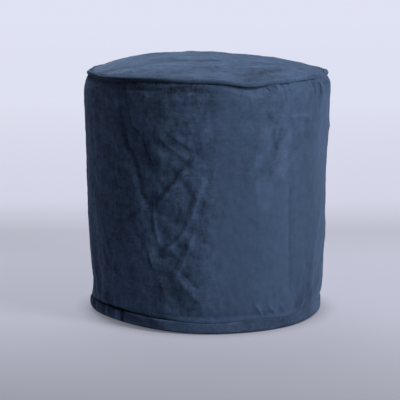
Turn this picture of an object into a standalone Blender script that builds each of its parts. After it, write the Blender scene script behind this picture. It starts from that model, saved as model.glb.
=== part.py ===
"""Round bean bag footstool: a filled velvet drum with a piped, crowned top and a banded base.

Units are metres and +Z is up. The origin is the middle of the flat base. Angles round the drum
are degrees from the front (-Y), positive towards +X.
"""

import math
from collections import namedtuple

import bmesh
import bpy

# Driving dimensions
SEAM_HEIGHT = 0.4300  # centre of the piping above the floor
SEAM_SHIFT = 0.0025  # the piped top sits this far to +X of the base
PIPING_RING = 0.2106  # radius of the piping's centre line
PIPING_RADIUS = 0.0043
CROWN_RISE = 0.0280  # top of the crown above the top panel's edge
CROWN_POWER = 2.6  # over 2 is a flatter middle and a rounder edge
CROWN_LEAN = -0.0180  # the crown's apex lies this far along X
SHEET = 0.0025  # velvet with its backing
BAND_INNER = 0.2035
BAND_THICKNESS = 0.0058
BAND_THICKNESS_SWING = 0.0022  # thicker on the left, thinner on the right
BAND_HEIGHT = 0.0245
BAND_FRONT_DIP = 0.0040
BASE_RADIUS = 0.2005
BASE_THICKNESS = 0.0030
GAP = 0.0004  # between pieces that touch
ARRIS = 0.0020  # the drum's lower edge is cut back by this much

# How finely the pieces are faceted
COLUMNS = 80
CROWN_RINGS = 5
LONGEST_ROW = 0.0225

# Sizes that follow from those above
EDGE_RADIUS = PIPING_RING - PIPING_RADIUS - 2.5 * GAP  # where the top panel stops, beside the piping
EDGE_HEIGHT = SEAM_HEIGHT + 0.0018
NECK_HEIGHT = SEAM_HEIGHT - 0.0035  # the drum's narrowest point, inside the piping
UNDER_SHEET = 1.08 * SHEET + GAP  # the crown of the drum lies this far below the top panel's face
FLOOR_OF_DRUM = BASE_THICKNESS + GAP

VELVET = (0.033, 0.056, 0.103)
FOLD_DEEPEN = 1.25

Ring = namedtuple("Ring", "height radius")
Swell = namedtuple("Swell", "middle_deg half_width_deg amount")
Fold = namedtuple("Fold", "start_deg start_height end_deg end_height outward half_width")
Crease = namedtuple("Crease", "start_x start_y end_x end_y upward half_width")

# The side's outline from under the piping to the top of the band
WALL = (
    Ring(0.4215, 0.2132),
    Ring(0.4180, 0.2160),
    Ring(0.4100, 0.2188),
    Ring(0.4000, 0.2200),
    Ring(0.3780, 0.2195),
    Ring(0.3560, 0.2190),
    Ring(0.3340, 0.2188),
    Ring(0.3120, 0.2177),
    Ring(0.2900, 0.2165),
    Ring(0.2240, 0.2150),
    Ring(0.1580, 0.2143),
    Ring(0.1140, 0.2130),
    Ring(0.0700, 0.2109),
    Ring(0.0470, 0.2095),
    Ring(0.0340, 0.2076),
)

# How far the piped seam rises or drops round the top
SEAM_SWELLS = (
    Swell(21.0, 17.0, -0.0062),
    Swell(-35.0, 40.0, 0.0010),
    Swell(75.0, 45.0, 0.0012),
    Swell(150.0, 50.0, -0.0012),
    Swell(-130.0, 45.0, -0.0010),
)

# Creases and gathers in the side cloth
FOLDS = (
    Fold(-42.0, 0.367, -26.0, 0.222, -0.0052, 0.020),
    Fold(-26.0, 0.222, -22.0, 0.141, -0.0042, 0.018),
    Fold(-33.0, 0.335, -26.0, 0.288, -0.0030, 0.014),
    Fold(-27.0, 0.337, -6.0, 0.303, -0.0026, 0.018),
    Fold(-6.0, 0.305, -25.0, 0.226, -0.0044, 0.018),
    Fold(-1.5, 0.285, -8.5, 0.193, 0.0026, 0.015),
    Fold(-16.0, 0.203, -3.0, 0.189, -0.0020, 0.016),
    Fold(-6.0, 0.187, -21.5, 0.138, -0.0034, 0.017),
    Fold(-10.0, 0.142, -18.0, 0.089, -0.0034, 0.018),
    Fold(-32.0, 0.163, -27.0, 0.122, -0.0024, 0.015),
    Fold(41.0, 0.310, 43.0, 0.073, -0.0022, 0.030),
    Fold(74.0, 0.160, 58.0, 0.072, 0.0022, 0.018),
    Fold(73.0, 0.342, 80.0, 0.300, 0.0016, 0.020),
    Fold(-66.0, 0.060, -70.0, 0.180, -0.0030, 0.020),
    Fold(-90.0, 0.340, -98.0, 0.090, -0.0030, 0.024),
    Fold(112.0, 0.330, 118.0, 0.110, -0.0034, 0.024),
    Fold(140.0, 0.250, 134.0, 0.060, -0.0026, 0.020),
    Fold(180.0, 0.405, 180.0, 0.060, -0.0024, 0.012),
    Fold(-150.0, 0.350, -143.0, 0.160, -0.0034, 0.022),
    Fold(-124.0, 0.220, -130.0, 0.070, -0.0024, 0.020),
)

# Soft wrinkles in the crown, in plan
CREASES = (
    Crease(-0.095, -0.010, 0.050, 0.010, 0.0016, 0.024),
    Crease(-0.130, 0.060, 0.020, 0.080, -0.0014, 0.026),
    Crease(0.060, -0.080, 0.140, 0.030, -0.0016, 0.028),
)


def clear_scene():
    for thing in list(bpy.data.objects):
        bpy.data.objects.remove(thing, do_unlink=True)


def bell(distance, half_width):
    """1 at distance 0, falling smoothly to 0 at half_width."""
    if abs(distance) >= half_width:
        return 0.0
    return 0.5 + 0.5 * math.cos(math.pi * distance / half_width)


def ramp(value, start, end):
    """0 up to start, 1 from end on, and smooth between."""
    share = min(max((value - start) / (end - start), 0.0), 1.0)
    return share * share * (3.0 - 2.0 * share)


def turn_between(angle, other):
    """Degrees from one heading to another the short way round."""
    return (angle - other + 180.0) % 360.0 - 180.0


def heading(point):
    return math.degrees(math.atan2(point.x, -point.y))


def at_heading(angle, radius, height):
    turn = math.radians(angle)
    return (radius * math.sin(turn), -radius * math.cos(turn), height)


def seam_lift(angle):
    return sum(s.amount * bell(turn_between(angle, s.middle_deg), s.half_width_deg) for s in SEAM_SWELLS)


def left_share(angle):
    """1 on the left side, 0 on the right."""
    return 0.5 - 0.5 * math.sin(math.radians(angle))


def band_thickness(angle):
    return BAND_THICKNESS + BAND_THICKNESS_SWING * (2.0 * left_share(angle) - 1.0)


def band_drop(angle):
    return BAND_FRONT_DIP * bell(turn_between(angle, 8.0), 60.0)


def distance_to_line(across, up, line_across, line_up):
    """Distance from a point to a stretch between two ends, all as lengths."""
    (start_across, end_across), (start_up, end_up) = line_across, line_up
    run, rise = end_across - start_across, end_up - start_up
    share = ((across - start_across) * run + (up - start_up) * rise) / (run * run + rise * rise)
    share = min(max(share, 0.0), 1.0)
    return math.hypot(across - start_across - share * run, up - start_up - share * rise)


def fold_depth(angle, height):
    """How far the folds move the side cloth outward here."""
    arc = math.radians(1.0) * PIPING_RING
    outward = 0.0
    for fold in FOLDS:
        across = turn_between(angle, fold.start_deg) * arc
        end = turn_between(fold.end_deg, fold.start_deg) * arc
        away = distance_to_line(across, height, (0.0, end), (fold.start_height, fold.end_height))
        outward += FOLD_DEEPEN * fold.outward * bell(away, fold.half_width)
    return outward


def crease_height(x, y):
    upward = 0.0
    for crease in CREASES:
        away = distance_to_line(x, y, (crease.start_x, crease.end_x), (crease.start_y, crease.end_y))
        upward += crease.upward * bell(away, crease.half_width)
    return upward


def crown_height(radius):
    return EDGE_HEIGHT + CROWN_RISE * (1.0 - (radius / EDGE_RADIUS) ** CROWN_POWER)


def crown_radii():
    """Radii from the axis to the edge, closer together near the edge."""
    quarter = 0.5 * math.pi
    return [EDGE_RADIUS * math.sin(quarter * ring / CROWN_RINGS) for ring in range(CROWN_RINGS + 1)]


def smooth_radius(height):
    """Radius of the side at a height, by a cubic through the outline's rings."""
    rings = sorted(WALL)
    upper = next((i for i in range(1, len(rings)) if height <= rings[i].height), len(rings) - 1)
    below, above = rings[upper - 1], rings[upper]
    span = above.height - below.height
    share = (height - below.height) / span
    before = rings[max(upper - 2, 0)]
    after = rings[min(upper + 1, len(rings) - 1)]
    slope_below = (above.radius - before.radius) / (above.height - before.height) * span
    slope_above = (after.radius - below.radius) / (after.height - below.height) * span
    square, cube = share * share, share * share * share
    return (
        (2 * cube - 3 * square + 1) * below.radius
        + (cube - 2 * square + share) * slope_below
        + (3 * square - 2 * cube) * above.radius
        + (cube - square) * slope_above
    )


def wall_profile():
    """(radius, height) pairs down the side, with long rows split."""
    profile = []
    for upper, lower in zip(WALL, WALL[1:]):
        rows = math.ceil((upper.height - lower.height) / LONGEST_ROW)
        for row in range(rows):
            height = upper.height + (lower.height - upper.height) * row / rows
            profile.append((smooth_radius(height), height))
    profile.append((WALL[-1].radius, WALL[-1].height))
    return profile


def turned_mesh(name, profile, is_loop=False):
    """A profile turned once about Z, as one welded mesh."""
    outline = bpy.data.meshes.new(name + "_profile")
    edges = [(i, i + 1) for i in range(len(profile) - 1)]
    if is_loop:
        edges.append((len(profile) - 1, 0))
    outline.from_pydata([(radius, 0.0, height) for radius, height in profile], edges, [])
    helper = bpy.data.objects.new(name + "_profile", outline)
    bpy.context.scene.collection.objects.link(helper)
    screw = helper.modifiers.new("turn", "SCREW")
    screw.steps = COLUMNS
    screw.render_steps = COLUMNS
    screw.use_merge_vertices = True
    screw.merge_threshold = 0.0001
    graph = bpy.context.evaluated_depsgraph_get()
    turned = bpy.data.meshes.new_from_object(helper.evaluated_get(graph))
    turned.name = name
    bpy.data.objects.remove(helper, do_unlink=True)
    cage = bmesh.new()
    cage.from_mesh(turned)
    bmesh.ops.remove_doubles(cage, verts=cage.verts, dist=0.00002)
    bmesh.ops.recalc_face_normals(cage, faces=cage.faces)
    cage.to_mesh(turned)
    cage.free()
    return turned


def velvet_material(name, shade):
    material = bpy.data.materials.new(name + "_velvet")
    material.use_nodes = True
    surface = material.node_tree.nodes["Principled BSDF"]
    surface.inputs["Base Color"].default_value = (*(channel * shade for channel in VELVET), 1.0)
    surface.inputs["Roughness"].default_value = 0.85
    surface.inputs["Metallic"].default_value = 0.0
    surface.inputs["Sheen Weight"].default_value = 0.6
    return material


def add_piece(collection, name, data, shade=1.0):
    piece = bpy.data.objects.new(name, data)
    collection.objects.link(piece)
    data.materials.clear()
    data.materials.append(velvet_material(name, shade))
    if isinstance(data, bpy.types.Mesh):
        data.shade_smooth()
        data.set_sharp_from_angle(angle=math.radians(50.0))
    return piece


def move_crown_point(point):
    """Leans the crown, and carries its edge with the uneven seam."""
    radius = math.hypot(point.x, point.y)
    angle = heading(point)
    share = min(radius / EDGE_RADIUS, 1.0)
    point.z += seam_lift(angle) * share**4 + crease_height(point.x, point.y) * (1.0 - share**4)
    point.x += CROWN_LEAN * (1.0 - share * share) + SEAM_SHIFT * share * share


def move_wall_point(point):
    """Folds the side cloth, draws it up to the uneven seam, and tucks it behind the band."""
    radius = math.hypot(point.x, point.y)
    angle = heading(point)
    near_seam = ramp(point.z, SEAM_HEIGHT - 0.070, SEAM_HEIGHT - 0.010)
    near_band = 1.0 - ramp(point.z, BAND_HEIGHT, BAND_HEIGHT + 0.020)
    grown = radius + fold_depth(angle, point.z) * (1.0 - near_seam) * (1.0 - near_band)
    height = point.z + seam_lift(angle) * near_seam
    point.x, point.y, point.z = at_heading(angle, grown, height)
    point.x += SEAM_SHIFT * near_seam


def make_side_panel(collection):
    """The side cloth with the filling that it holds, as one solid drum."""
    crown = [(radius, crown_height(radius) - UNDER_SHEET) for radius in crown_radii()]
    neck = [(EDGE_RADIUS, NECK_HEIGHT)]
    tuck_radius = BAND_INNER - 2.0 * GAP
    tuck = [
        (0.5 * (tuck_radius + WALL[-1].radius), BAND_HEIGHT + 0.0050),
        (tuck_radius, BAND_HEIGHT + 0.0020),
        (tuck_radius, FLOOR_OF_DRUM + ARRIS),
        (tuck_radius - ARRIS, FLOOR_OF_DRUM),
        (0.0, FLOOR_OF_DRUM),
    ]
    drum = turned_mesh("side_panel", crown + neck + wall_profile() + tuck)
    for vertex in drum.vertices:
        point = vertex.co
        if point.z > NECK_HEIGHT - GAP:
            move_crown_point(point)
        elif point.z > FLOOR_OF_DRUM + GAP:
            move_wall_point(point)
    return add_piece(collection, "side_panel", drum)


def make_top_panel(collection):
    """A crowned round of velvet that ends beside the piping."""
    profile = [(radius, crown_height(radius)) for radius in crown_radii()]
    sheet = turned_mesh("top_panel", profile)
    for vertex in sheet.vertices:
        move_crown_point(vertex.co)
    panel = add_piece(collection, "top_panel", sheet, shade=1.15)
    thicken = panel.modifiers.new("cloth_thickness", "SOLIDIFY")
    thicken.thickness = SHEET
    thicken.offset = -1.0
    return panel


def make_top_piping(collection):
    """A covered cord sewn into the seam round the top."""
    ring = bpy.data.curves.new("top_piping", "CURVE")
    ring.dimensions = "3D"
    ring.bevel_depth = PIPING_RADIUS
    ring.bevel_resolution = 2
    line = ring.splines.new("POLY")
    line.points.add(COLUMNS - 1)
    for index, point in enumerate(line.points):
        angle = 360.0 * index / COLUMNS
        x, y, z = at_heading(angle, PIPING_RING, SEAM_HEIGHT + seam_lift(angle))
        point.co = (x + SEAM_SHIFT, y, z, 1.0)
    line.use_cyclic_u = True
    return add_piece(collection, "top_piping", ring, shade=0.9)


def make_base_band(collection):
    """The strip sewn round the foot of the side, fuller on the left."""
    section = (
        (0.0, BAND_HEIGHT - 0.0010),
        (0.55, BAND_HEIGHT),
        (0.88, BAND_HEIGHT - 0.0025),
        (1.0, 0.0150),
        (1.0, 0.0060),
        (0.80, 0.0),
        (0.0, 0.0),
    )
    profile = [(BAND_INNER + share * BAND_THICKNESS, height) for share, height in section]
    strip = turned_mesh("base_band", profile, is_loop=True)
    for vertex in strip.vertices:
        point = vertex.co
        angle = heading(point)
        share = (math.hypot(point.x, point.y) - BAND_INNER) / BAND_THICKNESS
        radius = BAND_INNER + share * band_thickness(angle)
        height = point.z - band_drop(angle) * point.z / BAND_HEIGHT
        point.x, point.y, point.z = at_heading(angle, radius, height)
    return add_piece(collection, "base_band", strip, shade=0.95)


def make_base_panel(collection):
    """The flat round of cloth that the footstool stands on."""
    disc = bmesh.new()
    bmesh.ops.create_cone(
        disc, cap_ends=True, segments=COLUMNS, radius1=BASE_RADIUS, radius2=BASE_RADIUS, depth=BASE_THICKNESS
    )
    bmesh.ops.translate(disc, verts=disc.verts, vec=(0.0, 0.0, 0.5 * BASE_THICKNESS))
    panel = bpy.data.meshes.new("base_panel")
    disc.to_mesh(panel)
    disc.free()
    return add_piece(collection, "base_panel", panel, shade=0.8)


def main():
    clear_scene()
    collection = bpy.data.collections.new("bean_bag_footstool")
    bpy.context.scene.collection.children.link(collection)
    make_side_panel(collection)
    make_top_panel(collection)
    make_top_piping(collection)
    make_base_band(collection)
    make_base_panel(collection)


main()
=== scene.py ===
import math
from collections import namedtuple

import bpy
import numpy as np
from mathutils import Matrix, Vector
from mathutils.bvhtree import BVHTree


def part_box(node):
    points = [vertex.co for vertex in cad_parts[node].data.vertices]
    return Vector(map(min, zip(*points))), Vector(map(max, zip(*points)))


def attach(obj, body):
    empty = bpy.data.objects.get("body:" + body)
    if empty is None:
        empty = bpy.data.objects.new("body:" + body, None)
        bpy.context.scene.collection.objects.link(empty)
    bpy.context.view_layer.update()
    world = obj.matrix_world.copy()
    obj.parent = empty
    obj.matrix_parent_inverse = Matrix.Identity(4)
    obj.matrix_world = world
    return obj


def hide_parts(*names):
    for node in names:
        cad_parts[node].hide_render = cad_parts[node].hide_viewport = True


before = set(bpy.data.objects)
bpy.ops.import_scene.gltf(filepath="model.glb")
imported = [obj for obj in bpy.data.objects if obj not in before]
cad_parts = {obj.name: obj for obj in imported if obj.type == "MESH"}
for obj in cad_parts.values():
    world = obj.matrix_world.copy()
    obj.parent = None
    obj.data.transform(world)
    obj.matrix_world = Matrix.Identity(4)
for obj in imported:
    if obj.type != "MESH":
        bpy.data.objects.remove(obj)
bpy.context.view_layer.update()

# Looks of a round bean bag footstool: velvet side, crowned top, piping, band and base, each its
# own mesh round the imported frame. Metres, +Z up, except where a table says millimetres. Angles
# are headings: degrees round the drum from the front (-Y), positive towards +X. "Across" is arc
# length round the side, "up" is height, and "nap_and_painted_light" is how light (+) or dark (-)
# the cloth is coloured: partly the pile's own nap, partly painted highlights and painted shade.

# ---- sizes, some read from the frame
PIPING_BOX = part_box("top_piping")
PANEL_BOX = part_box("top_panel")
BASE_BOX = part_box("base_panel")
BAND_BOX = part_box("base_band")

MM = 1000.0  # millimetres in a metre
MEAN_RADIUS = 0.2125
ROUND = 2 * math.pi * MEAN_RADIUS
TOP_SHIFT = 0.0017  # the piped top sits a little to +X

PIPING_OUTER = (PIPING_BOX[1].y - PIPING_BOX[0].y) / 2
PIPING_RADIUS = 0.0043
PIPING_RING = PIPING_OUTER - PIPING_RADIUS - 0.0005

CROWN_TOP = PANEL_BOX[1].z - 0.0010
CROWN_POWER = 2.6  # the higher, the flatter the middle of the crown
CROWN_LEAN = -0.0180  # x of the crown's peak
CROWN_EDGE_UP = 0.0036  # the crown's edge over the piping's centre line
CROWN_EDGE_IN = 0.0047  # and inside its ring
TOP_THICKNESS = 0.0024
TOP_EDGE_THICKNESS = 0.0013
CROWN_GAP = 0.0056  # from the crown down to the hidden top of the side

NECK_DROP = 0.0048  # how far under the piping's centre line the side's cloth is sewn in
NECK_OUT = 0.0022  # and how far outside its ring
BAND_HEIGHT = BAND_BOX[1].z
BAND_INNER = 0.2036
BAND_FACE = (0.2, 0.7)  # shares of the band's height between which its outer face is read
BAND_TOP = 0.75  # share of its height above which its top edge is read
BEHIND_BAND = 0.0030  # how far the side's cloth goes down behind the band
BASE_THICKNESS = BASE_BOX[1].z
BASE_RADIUS = BASE_BOX[1].x
SIDE_FLOOR = BASE_THICKNESS + 0.0004
SIDE_INNER = BAND_INNER - 0.0010

# ---- how finely things are made
COLUMNS = 520  # round the side, piping and band, closer together at the front
FRONT_EXTRA = 1.9  # extra columns at the front for each one at the back
EVEN_COLUMNS = 720  # round the fields of noise those are read from
WALL_ROWS = 180
RIM_ROWS = 18  # of those, the ones in the last stretch under the piping
RIM_STRETCH = 0.017
CROWN_COLUMNS = 420
CROWN_RINGS = 90
PIPING_SIDES = 16
BAND_SIDES = 28
BASE_COLUMNS = 180
BASE_EDGE_STEPS = 6
FLOOR_COLUMNS = 96
LID_SHARES = (0.35, 0.70, 0.90, 0.975)  # rings of the side's hidden top, as shares of its radius

# ---- slow changes round the drum
# A Rise is an amount at a heading that dies away over half_width degrees to either side.
Rise = namedtuple("Rise", "amount deg half_width")
SEAM_RISES = (
    Rise(-0.0030, 104, 50),
    Rise(-0.0012, -100, 40),
    Rise(0.0030, -20, 42),
    Rise(0.0014, -4, 50),
    Rise(0.0024, 27, 12),
)
BAND_TOP_RISES = (
    Rise(0.0036, -56, 34),
    Rise(-0.0018, -2, 24),
    Rise(0.0015, 19, 14),
    Rise(-0.0042, 43, 15),
)
BAND_OUTWARD = (Rise(-0.0016, -50, 60), Rise(0.0012, 38, 26))
BAND_LIFTS = (Rise(0.0070, -58, 62), Rise(0.0040, 82, 40))  # of its lower edge
BAND_FULL = (Rise(1, -72, 76),)  # how rounded its section is
BAND_CRIMPS = (Rise(0.0007, -72, 76), Rise(0.0010, -70, 24))
BAND_SHADES = (Rise(-0.22, 34, 34), Rise(-0.42, -62, 32), Rise(-0.26, -38, 34))  # painted shade on the band, as nap
BAND_LIP_HIGHLIGHT = (Rise(0.40, -38, 34),)  # painted highlight on its lower part, as nap
BAND_TOP_PAINTED_SHADE = (Rise(-0.55, -80, 26),)  # painted shade on its upper part, as nap
JOIN_DEG = -47.2  # where the ends of the band lap
GATHER_DEPTHS = (Rise(0.0036, 70, 22), Rise(0.0026, 33, 9))  # of the ruffles at the seam
GATHER_REACHES = (Rise(0.012, 70, 22),)
RUFFLE_DEPTHS = (Rise(0.0020, -68, 34), Rise(0.0009, 46, 40))  # of those at the foot
RUFFLE_REACHES = (Rise(0.022, -68, 34), Rise(0.018, 46, 40))
NECK_RISES = (Rise(-0.0016, 20, 16),)  # of the side's edge, outward
FOOT_INSIDE = (Rise(0.0034, -56, 70),)  # how far inside the band's face the side meets it
FOOT_DRAWN_IN = (Rise(0.0034, -44, 50),)
FOOT_NARROWED = (Rise(0.045, -48, 75),)  # share by which the base is narrower
SIDE_FLOOR_LIFTS = (Rise(0.0056, -52, 75),)
BASE_LIFTS = (Rise(0.0024, -50, 75),)
CROWN_DITCHES = (Rise(0.0016, 62, 60),)  # depth of the crown's dip beside the piping
PIPING_LAP = (Rise(0.10, 171, 4),)  # share by which the cord is thicker where its ends meet
PIPING_PAINTED_LIGHT = (Rise(1, -50, 70),)  # where it gets painted shade on its under side and a painted highlight on its upper outer side

# Painted shade near an edge of the side, under the piping and above the band: full up to start metres
# from it, and gone at end
Shade = namedtuple("Shade", "amount deg half_width start end")
FOOT_SHADES = (Shade(-0.80, -44, 50, 0.0020, 0.0060),)
SEAM_SHADES = (Shade(-0.60, -22, 46, 0.0120, 0.0260), Shade(-1.20, 19, 17, 0.0060, 0.0085))

# How far the drum stands out at its left-hand and right-hand sides, by height
Lean = namedtuple("Lean", "height left right")
SIDE_LEANS = (
    Lean(0.020, -0.0024, 0.0000),
    Lean(0.057, -0.0048, 0.0000),
    Lean(0.085, -0.0031, -0.0007),
    Lean(0.110, -0.0016, -0.0010),
    Lean(0.137, -0.0014, 0.0000),
    Lean(0.172, -0.0010, -0.0020),
    Lean(0.240, 0.0001, -0.0020),
    Lean(0.276, -0.0008, -0.0012),
    Lean(0.360, -0.0019, -0.0007),
    Lean(0.400, -0.0005, -0.0005),
    Lean(0.430, 0.0002, -0.0004),
)

# ---- colours, camera and light
SIDE_COLOUR = (0.033, 0.056, 0.103)
TOP_COLOUR = (0.034, 0.061, 0.116)
PIPING_COLOUR = (0.032, 0.054, 0.099)
BAND_COLOUR = (0.033, 0.055, 0.101)
NAP_AND_LIGHT_LIMIT = 0.8  # the nap and painted light at which the colour is lightest, and darkest when negative
DARKEST = 0.3  # shares of the colour there
LIGHTEST = 1.75
VELVET_SURFACE = {
    "Metallic": 0.0,
    "IOR": 1.45,
    "Specular IOR Level": 0.15,
    "Sheen Weight": 0.20,
    "Sheen Roughness": 0.45,
    "Sheen Tint": (0.46, 0.64, 1.0, 1.0),
}
Mottle = namedtuple("Mottle", "scale detail rough stretch warp reach")
MOTTLES = (
    Mottle(26.0, 4.0, 0.62, (1.0, 1.0, 1.0), 0.5, 0.10),  # clouds
    Mottle(150.0, 5.0, 0.7, (1.0, 0.8, 1.0), 0.6, 0.36),  # crushed pile
    Mottle(90.0, 3.0, 0.6, (3.2, 0.5, 1.0), 0.8, 0.16),  # brushed up and down
    Mottle(90.0, 3.0, 0.6, (0.5, 3.0, 1.0), 0.8, 0.16),  # brushed across
    Mottle(420.0, 3.0, 0.7, (1.0, 1.0, 1.0), 0.0, 0.20),  # grain
)
THREAD_PAIR = 0.0011  # from one thread of the base's weave to the next but one
WEAVE_DARK = (0.010, 0.018, 0.034, 1.0)
WEAVE_LIGHT = (0.026, 0.046, 0.086, 1.0)

CAMERA_PLACE = (-0.0120, -3.0, 0.7298)
CAMERA_DOWN = 0.1760  # radians below level
CAMERA_LENS = 151.9
LIGHTS_AIM = (0.0, 0.0, 0.25)
Lamp = namedtuple("Lamp", "name heading_deg elevation_deg distance size power")
LAMPS = (
    Lamp("key", 51.0, 34.0, 2.4, 0.8, 76.0),
    Lamp("overhead", -168.0, 60.0, 2.6, 1.4, 40.0),
)
WORLD_COLOUR = (0.90, 0.92, 1.0, 1.0)
WORLD_STRENGTH = 0.05
FLOOR_RADII = (3.0, 14.0)
FLOOR_HEIGHT = -0.0002
FLOOR_SURFACE = {"Base Color": (0.10, 0.10, 0.12, 1.0), "Roughness": 0.7, "Specular IOR Level": 0.0}
Tone = namedtuple("Tone", "y red green blue")  # the floor's glow, painted light, from the darker front to far behind
FLOOR_TONES = (
    Tone(-0.60, 0.22, 0.23, 0.27),
    Tone(-0.10, 0.38, 0.39, 0.47),
    Tone(0.40, 0.43, 0.44, 0.53),
    Tone(0.70, 0.40, 0.41, 0.48),
    Tone(1.10, 0.56, 0.57, 0.68),
    Tone(3.20, 0.71, 0.73, 0.85),
    Tone(7.00, 0.74, 0.76, 0.90),
)

# ---- creases, and painted highlights and painted shade
# Flanks, heights and creases' amounts are millimetres. A path on the side runs through
# (heading, height) points, and one on the crown through (x, y) points. left and right are how
# far its flanks reach: to the left and right of a path that runs down, and below and above one
# that runs to the right. A crease's amount is its rise outward, and a stroke's or a patch's
# amount adds to the nap and painted light.
Line = namedtuple("Line", "amount left right path")
Patch = namedtuple("Patch", "amount deg up half_across half_up lean", defaults=(0.0,))


def table(kind, *rows):
    """Rows whose columns have the names of a kind of namedtuple."""
    return tuple(kind(*row) for row in rows)


SIDE_CREASES = table(Line,
    # the long stripe at the front left, and its spur
    (1.9, 13, 22, ((-42, 400), (-40, 344), (-36.8, 311), (-33.2, 285), (-30.6, 260), (-28.2, 226),
      (-27, 190))),
    (-1.6, 7, 3.2, ((-38.6, 400), (-36.8, 366), (-34, 348), (-31, 336))),
    # the folds that meet in a V
    (-2.6, 8, 3.4, ((-32, 342), (-28.8, 315), (-27, 299), (-25.2, 282))),
    (1.6, 4.2, 10, ((-25.4, 345), (-22, 339), (-18.5, 324.5), (-15, 316.5), (-12.5, 308), (-8.8, 297))),
    (1.1, 3.4, 9, ((-19.4, 360), (-17.2, 346), (-14.5, 338), (-10, 328), (-7, 321), (-4.6, 311))),
    (3.4, 9, 26, ((-3.6, 313), (-6.5, 299), (-9.5, 287), (-12.5, 272), (-15, 259), (-18, 246.5),
      (-21.5, 231), (-25.6, 215))),
    # the ridge below the V
    (1.1, 6, 12, ((-27.4, 240), (-26.4, 222), (-25.5, 205), (-24.7, 185), (-23.8, 168), (-22.2, 146))),
    (1, 3, 3.6, ((-27, 236), (-26, 222), (-25.3, 205), (-24.5, 185), (-23.6, 168), (-22.2, 148))),
    # the leaf-shaped fold at the middle, and the slanting ones under it
    (2.4, 6.5, 6, ((-1.2, 276), (-3.2, 246), (-4.9, 226), (-6.4, 205), (-8.4, 190))),
    (-1.4, 4.5, 3, ((0.9, 275), (0.3, 248), (-0.7, 233), (-2.1, 214), (-3.6, 194))),
    (0.8, 3, 3, ((4.2, 300), (2.6, 276), (0.8, 262))),
    (2, 4, 4, ((-7.6, 200), (-11, 174.5), (-14, 163.5), (-17, 150.5), (-21.6, 134))),
    (0.7, 3, 5, ((-6, 190), (-8.5, 195), (-11.5, 201), (-14, 203.5))),
    (2, 5.5, 6, ((-4, 198), (-6.8, 166), (-9, 145), (-11.6, 121), (-14, 106), (-17.4, 90))),
    # the folds over the foot
    (1.4, 5, 7, ((-14, 97), (-9.5, 79), (-6, 65), (-3, 54), (-0.2, 38))),
    (-1.8, 4.5, 6, ((-14, 107), (-10, 101.5), (-7, 90), (-4, 78))),
    (-0.8, 3, 3, ((-0.6, 64), (1.6, 56), (4.6, 49))),
    # thin lines at the lower left
    (1.3, 3.4, 6, ((-31.2, 176), (-29.4, 155), (-27.9, 138), (-26.2, 120), (-24.4, 100))),
    (0.7, 3, 4, ((-25.4, 112), (-22.5, 86), (-20, 65), (-18.2, 46))),
    (1, 3, 5, ((-36.6, 208), (-34.6, 190), (-33, 175), (-31.8, 162))),
    # slack cloth at the left-hand side
    (-0.9, 4, 4, ((-29, 228), (-34, 206), (-38, 196), (-44, 190), (-49, 160), (-55, 126))),
    (-1, 4, 5, ((-44.6, 264), (-50, 230), (-54.5, 203))),
    (1.6, 6, 14, ((-47.6, 385), (-46, 340), (-43.4, 300), (-40, 262))),
    (-1.4, 6, 6, ((-55, 338), (-62, 322), (-70, 312))),
    (-1.4, 5, 5, ((-56, 300), (-61, 290), (-66, 272))),
    (1.4, 5, 6, ((-52, 285), (-58, 264), (-66, 252))),
    # the right-hand side
    (-1.2, 12, 6, ((40.2, 300), (41.3, 224), (41.8, 154), (43, 50))),
    (2.6, 6, 9, ((70.5, 220), (66.5, 180), (62.6, 140), (60.6, 100), (58.4, 40))),
    (1.6, 6, 8, ((86, 180), (76, 104), (69, 46))),
    (1.4, 4, 5, ((44.5, 306), (41, 292), (38, 280), (34.6, 258))),
    (1.4, 3, 5, ((38.5, 368), (44, 369.5), (50, 368), (57, 358))),
    (1.8, 6, 7, ((52, 120), (49, 72), (47.5, 34))),
    (1.8, 12, 12, ((68, 385), (76, 345), (90, 325))),
    # gathers under the piping at the right
    (1.6, 5, 4, ((59, 424), (59.4, 411), (59.8, 396))),
    (2, 5, 4, ((63.4, 424), (63.8, 409), (64.2, 392))),
    (2.2, 5, 4, ((67.8, 424), (68.2, 407), (68.6, 388))),
    (2.2, 5, 4, ((72.6, 424), (73, 407), (73.4, 388))),
    # puckers and folds above the band
    (3, 4, 5, ((22.6, 52), (25.6, 38), (28.4, 24))),
    (2.6, 4, 5, ((29.2, 50), (32, 37), (35.4, 24))),
    (1.6, 4, 5, ((36.5, 46), (38.5, 35), (41.5, 22))),
    (1.4, 3, 5, ((-12, 38), (-17, 34.5), (-24, 33.5))),
    (-2.4, 10, 8, ((-59, 130), (-63, 80), (-65, 30))),
    (2.4, 7, 9, ((-74, 150), (-70, 80), (-69, 30))),
    # the back and far sides
    (-2.4, 14, 7, ((-92, 350), (-97, 240), (-96, 100))),
    (2.6, 8, 18, ((112, 340), (120, 230), (117, 120))),
    (-2.2, 12, 6, ((136, 280), (131, 180), (133, 70))),
    (2.4, 6, 15, ((-152, 350), (-146, 260), (-149, 150))),
    (-2, 13, 6, ((-128, 240), (-133, 150), (-131, 60))),
    (-1.6, 7, 7, ((160, 250), (164, 170), (161, 110))),
    (1.8, 9, 9, ((99, 240), (104, 150), (101, 60))),
)
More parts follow.
